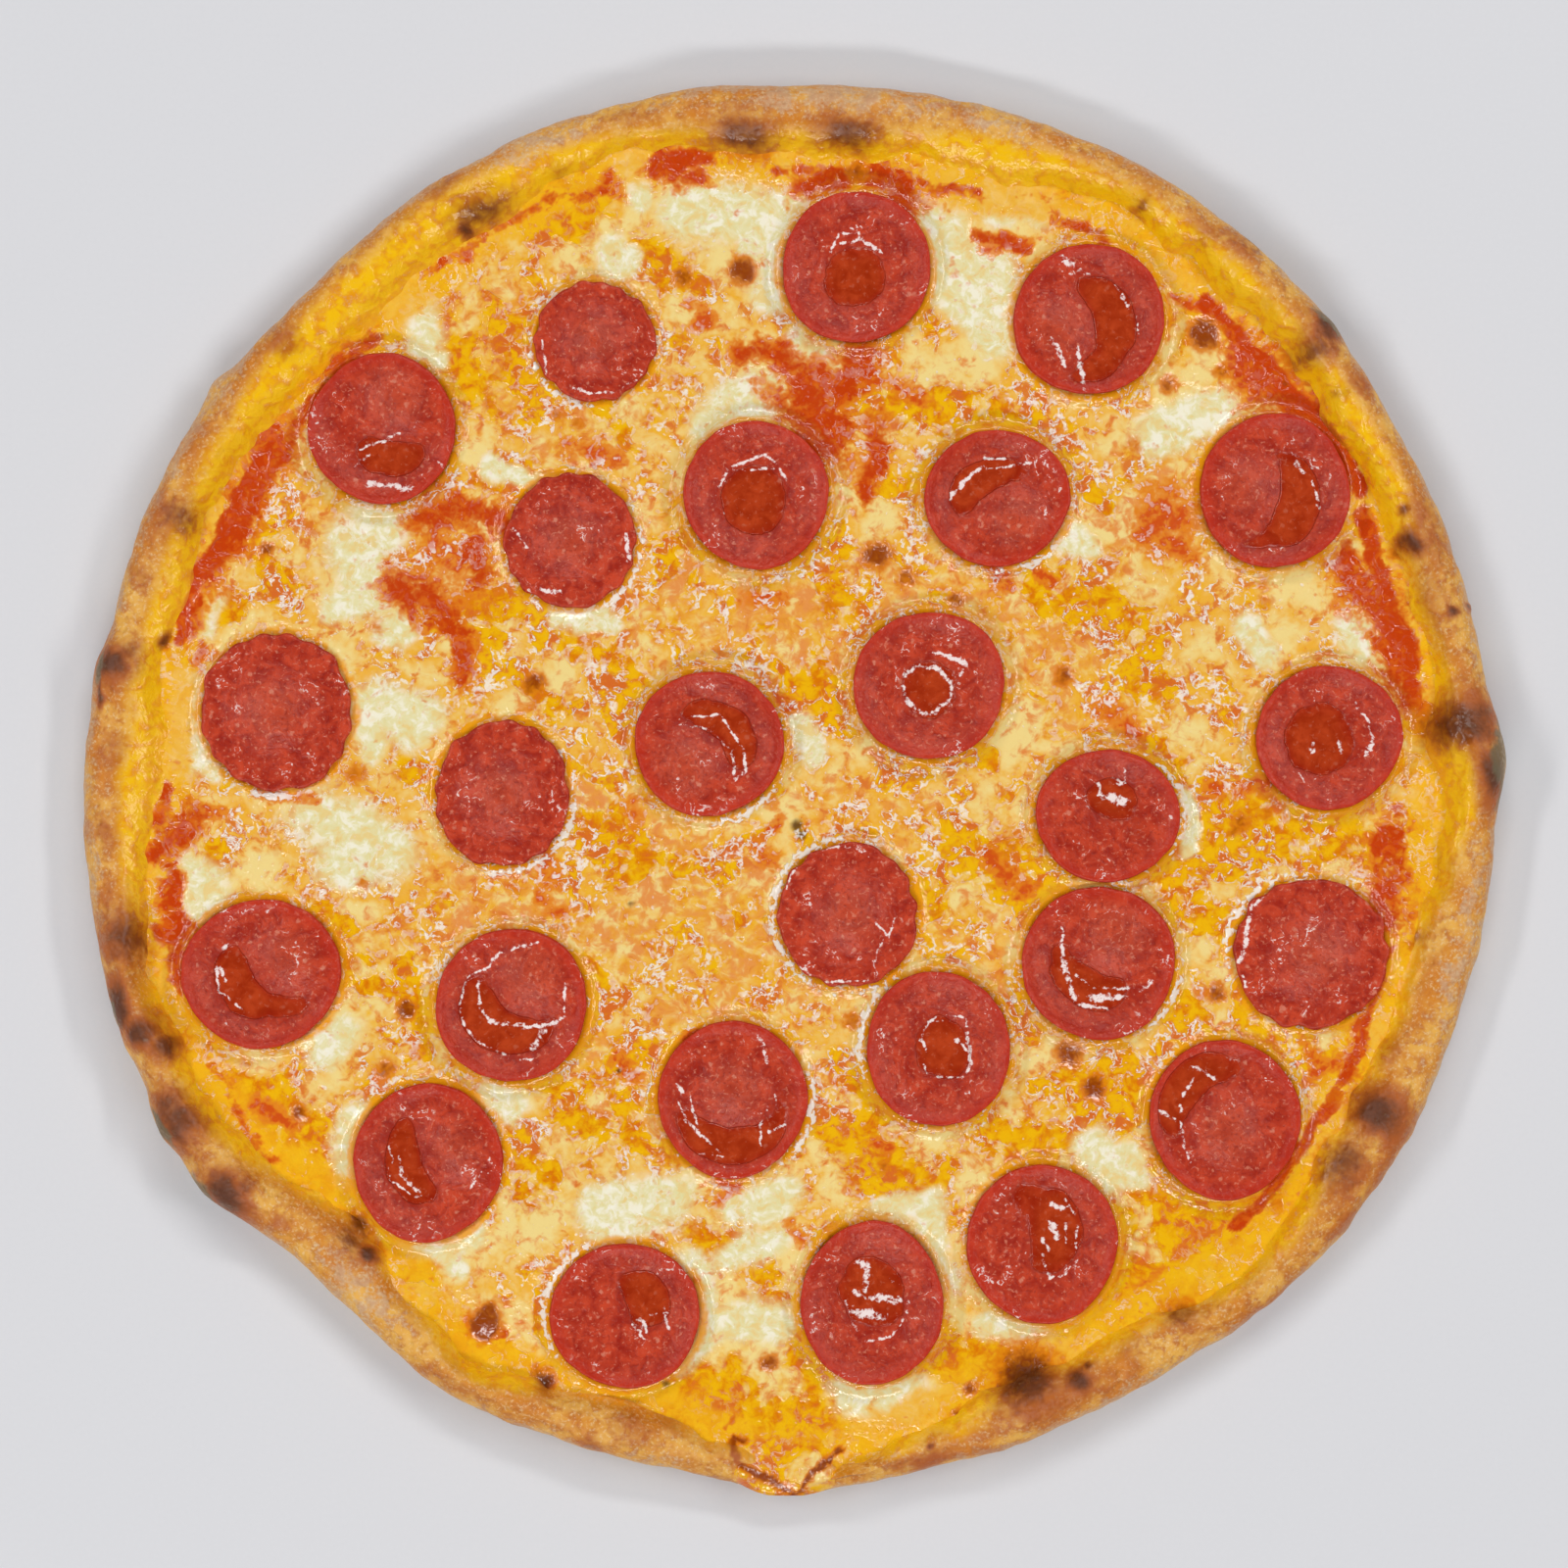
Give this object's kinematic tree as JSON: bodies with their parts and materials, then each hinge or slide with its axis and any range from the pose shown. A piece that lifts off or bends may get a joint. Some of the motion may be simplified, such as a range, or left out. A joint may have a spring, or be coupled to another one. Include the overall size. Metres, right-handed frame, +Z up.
{
  "type": "pepperoni pizza",
  "caption": "Whole round pepperoni pizza with a puffed, charred rim, tomato sauce, melted cheese and curled pepperoni slices.",
  "frame": {"origin": "centre of the pizza's underside, in the plane that it rests on", "axes": "+Z up out of the toppings, +Y towards the top of the pizza as the picture shows it from above, +X to the right"},
  "size_m": [0.3333, 0.3307, 0.0171],
  "materials": {
    "crust": "baked dough, dry and matt, floury at the outside, charred in spots",
    "sauce": "moist tomato sauce",
    "cheese": "melted cheese, oily and browned in spots",
    "pepperoni": "cured sausage, oily, with pale specks of fat"
  },
  "bodies": {
    "root": {"crust": "crust", "sauce": "sauce", "cheese": "cheese", "pepperoni_01": "pepperoni", "pepperoni_02": "pepperoni", "pepperoni_03": "pepperoni", "pepperoni_04": "pepperoni", "pepperoni_05": "pepperoni", "pepperoni_06": "pepperoni", "pepperoni_07": "pepperoni", "pepperoni_08": "pepperoni", "pepperoni_09": "pepperoni", "pepperoni_10": "pepperoni", "pepperoni_11": "pepperoni", "pepperoni_12": "pepperoni", "pepperoni_13": "pepperoni", "pepperoni_14": "pepperoni", "pepperoni_15": "pepperoni", "pepperoni_16": "pepperoni", "pepperoni_17": "pepperoni", "pepperoni_18": "pepperoni", "pepperoni_19": "pepperoni", "pepperoni_20": "pepperoni", "pepperoni_21": "pepperoni", "pepperoni_22": "pepperoni", "pepperoni_23": "pepperoni", "pepperoni_24": "pepperoni", "pepperoni_25": "pepperoni", "pepperoni_26": "pepperoni"}
  },
  "joints": []
}
